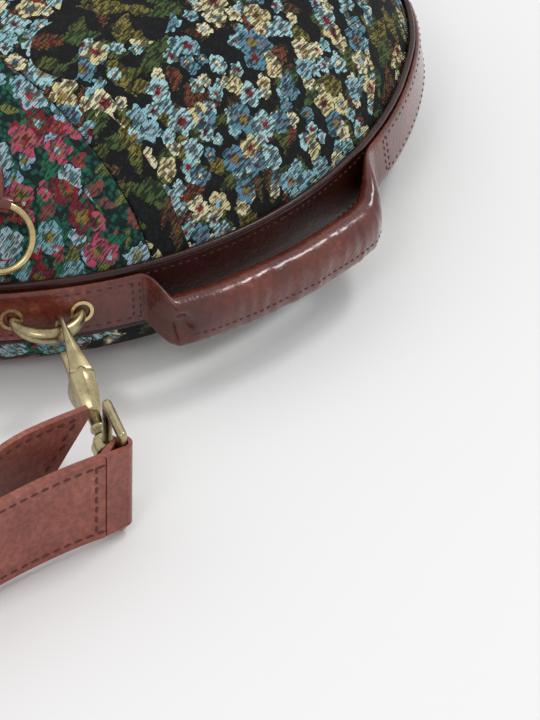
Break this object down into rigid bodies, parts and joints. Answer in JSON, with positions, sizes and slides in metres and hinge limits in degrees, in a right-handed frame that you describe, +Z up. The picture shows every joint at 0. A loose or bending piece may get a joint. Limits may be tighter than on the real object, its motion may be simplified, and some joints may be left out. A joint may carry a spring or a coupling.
{
  "type": "carpet bag",
  "caption": "Soft tapestry carpet bag with a leather band, zip, side grips, carry handles and a shoulder strap on snap hooks, lying on its back.",
  "frame": {"origin": "middle of the flat back face, which rests on the surface", "axes": "+X along the bag, the zipped top edge towards -Y, +Z up out of the front face"},
  "size_m": [0.6569, 0.4827, 0.1168],
  "materials": {
    "tapestry_main": "woven floral jacquard, black ground",
    "tapestry_yoke": "woven floral jacquard, green ground",
    "band_leather": "dark oxblood",
    "strap_leather": "chestnut, low gloss",
    "handle_leather": "chestnut, rolled",
    "lining_cloth": "plain weave",
    "zip_tape": "woven tape",
    "antique_brass": "brushed, aged",
    "bright_brass": "polished, worn",
    "core_cord": "twisted cord"
  },
  "bodies": {
    "bag": {"back_carry_handle": "handle_leather", "back_main_panel": "tapestry_main", "back_rim_binding": "band_leather", "back_yoke_panel": "tapestry_yoke", "buckle_frame": "antique_brass", "buckle_prong": "antique_brass", "front_carry_handle": "handle_leather", "front_main_panel": "tapestry_main", "front_rim_binding": "band_leather", "front_yoke_panel": "tapestry_yoke", "gusset_band": "band_leather", "left_back_carry_ring": "bright_brass", "left_back_chape": "handle_leather", "left_eyelet_lower": "bright_brass", "left_eyelet_upper": "bright_brass", "left_front_carry_ring": "bright_brass", "left_front_chape": "handle_leather", "left_grip_core": "core_cord", "left_side_strap": "strap_leather", "left_swivel_eye": "antique_brass", "lining": "lining_cloth", "right_back_carry_ring": "bright_brass", "right_back_chape": "handle_leather", "right_eyelet_lower": "bright_brass", "right_eyelet_upper": "bright_brass", "right_front_carry_ring": "bright_brass", "right_front_chape": "handle_leather", "right_grip_core": "core_cord", "right_side_strap": "strap_leather", "right_swivel_eye": "antique_brass", "shoulder_strap_long": "strap_leather", "shoulder_strap_short": "strap_leather", "strap_keeper": "strap_leather", "zip_tape": "zip_tape", "zip_teeth": "antique_brass"},
    "right_ring": {"right_half_ring": "antique_brass"},
    "right_hook": {"right_hook_body": "antique_brass", "right_gate_pin": "antique_brass"},
    "right_gate": {"right_hook_gate": "antique_brass"},
    "left_ring": {"left_half_ring": "antique_brass"},
    "left_hook": {"left_hook_body": "antique_brass", "left_gate_pin": "antique_brass"},
    "left_gate": {"left_hook_gate": "antique_brass"},
    "slider": {"zip_slider": "antique_brass"},
    "pull": {"zip_pull": "antique_brass"}
  },
  "joints": [
    {"name": "right_ring_hinge", "type": "hinge", "parent": "bag", "child": "right_ring", "pos_m": [0.23998, -0.10251, 0.038], "axis": [0.5395, 0.842, 0], "range_deg": [-1, 1]},
    {"name": "right_hook_swivel", "type": "hinge", "parent": "bag", "child": "right_hook", "pos_m": [0.30718, -0.13117, 0.02501], "axis": [0.8875, -0.4195, -0.1908], "range_deg": [-2, 2]},
    {"name": "right_gate_hinge", "type": "hinge", "parent": "right_hook", "child": "right_gate", "pos_m": [0.27595, -0.11641, 0.02602], "axis": [0.4274, 0.9041, 0], "range_deg": [0, 18], "stiffness_Nm_per_rad": 0.02, "springref_deg": -11.46},
    {"name": "left_ring_hinge", "type": "hinge", "parent": "bag", "child": "left_ring", "pos_m": [-0.23998, -0.10251, 0.038], "axis": [0.5395, -0.842, 0], "range_deg": [-1, 1]},
    {"name": "left_hook_swivel", "type": "hinge", "parent": "bag", "child": "left_hook", "pos_m": [-0.30718, -0.13117, 0.02501], "axis": [0.8875, 0.4195, 0.1908], "range_deg": [-2, 2]},
    {"name": "left_gate_hinge", "type": "hinge", "parent": "left_hook", "child": "left_gate", "pos_m": [-0.27595, -0.11641, 0.02602], "axis": [0.4274, -0.9041, 0], "range_deg": [0, 18], "stiffness_Nm_per_rad": 0.02, "springref_deg": -11.46},
    {"name": "zip_slide", "type": "slide", "parent": "bag", "child": "slider", "axis": [1, 0, 0], "range_m": [-0.266, 0]},
    {"name": "pull_hinge", "type": "hinge", "parent": "slider", "child": "pull", "pos_m": [0.133, -0.1621, 0.038], "axis": [0, 0, 1], "range_deg": [0, 150]}
  ]
}
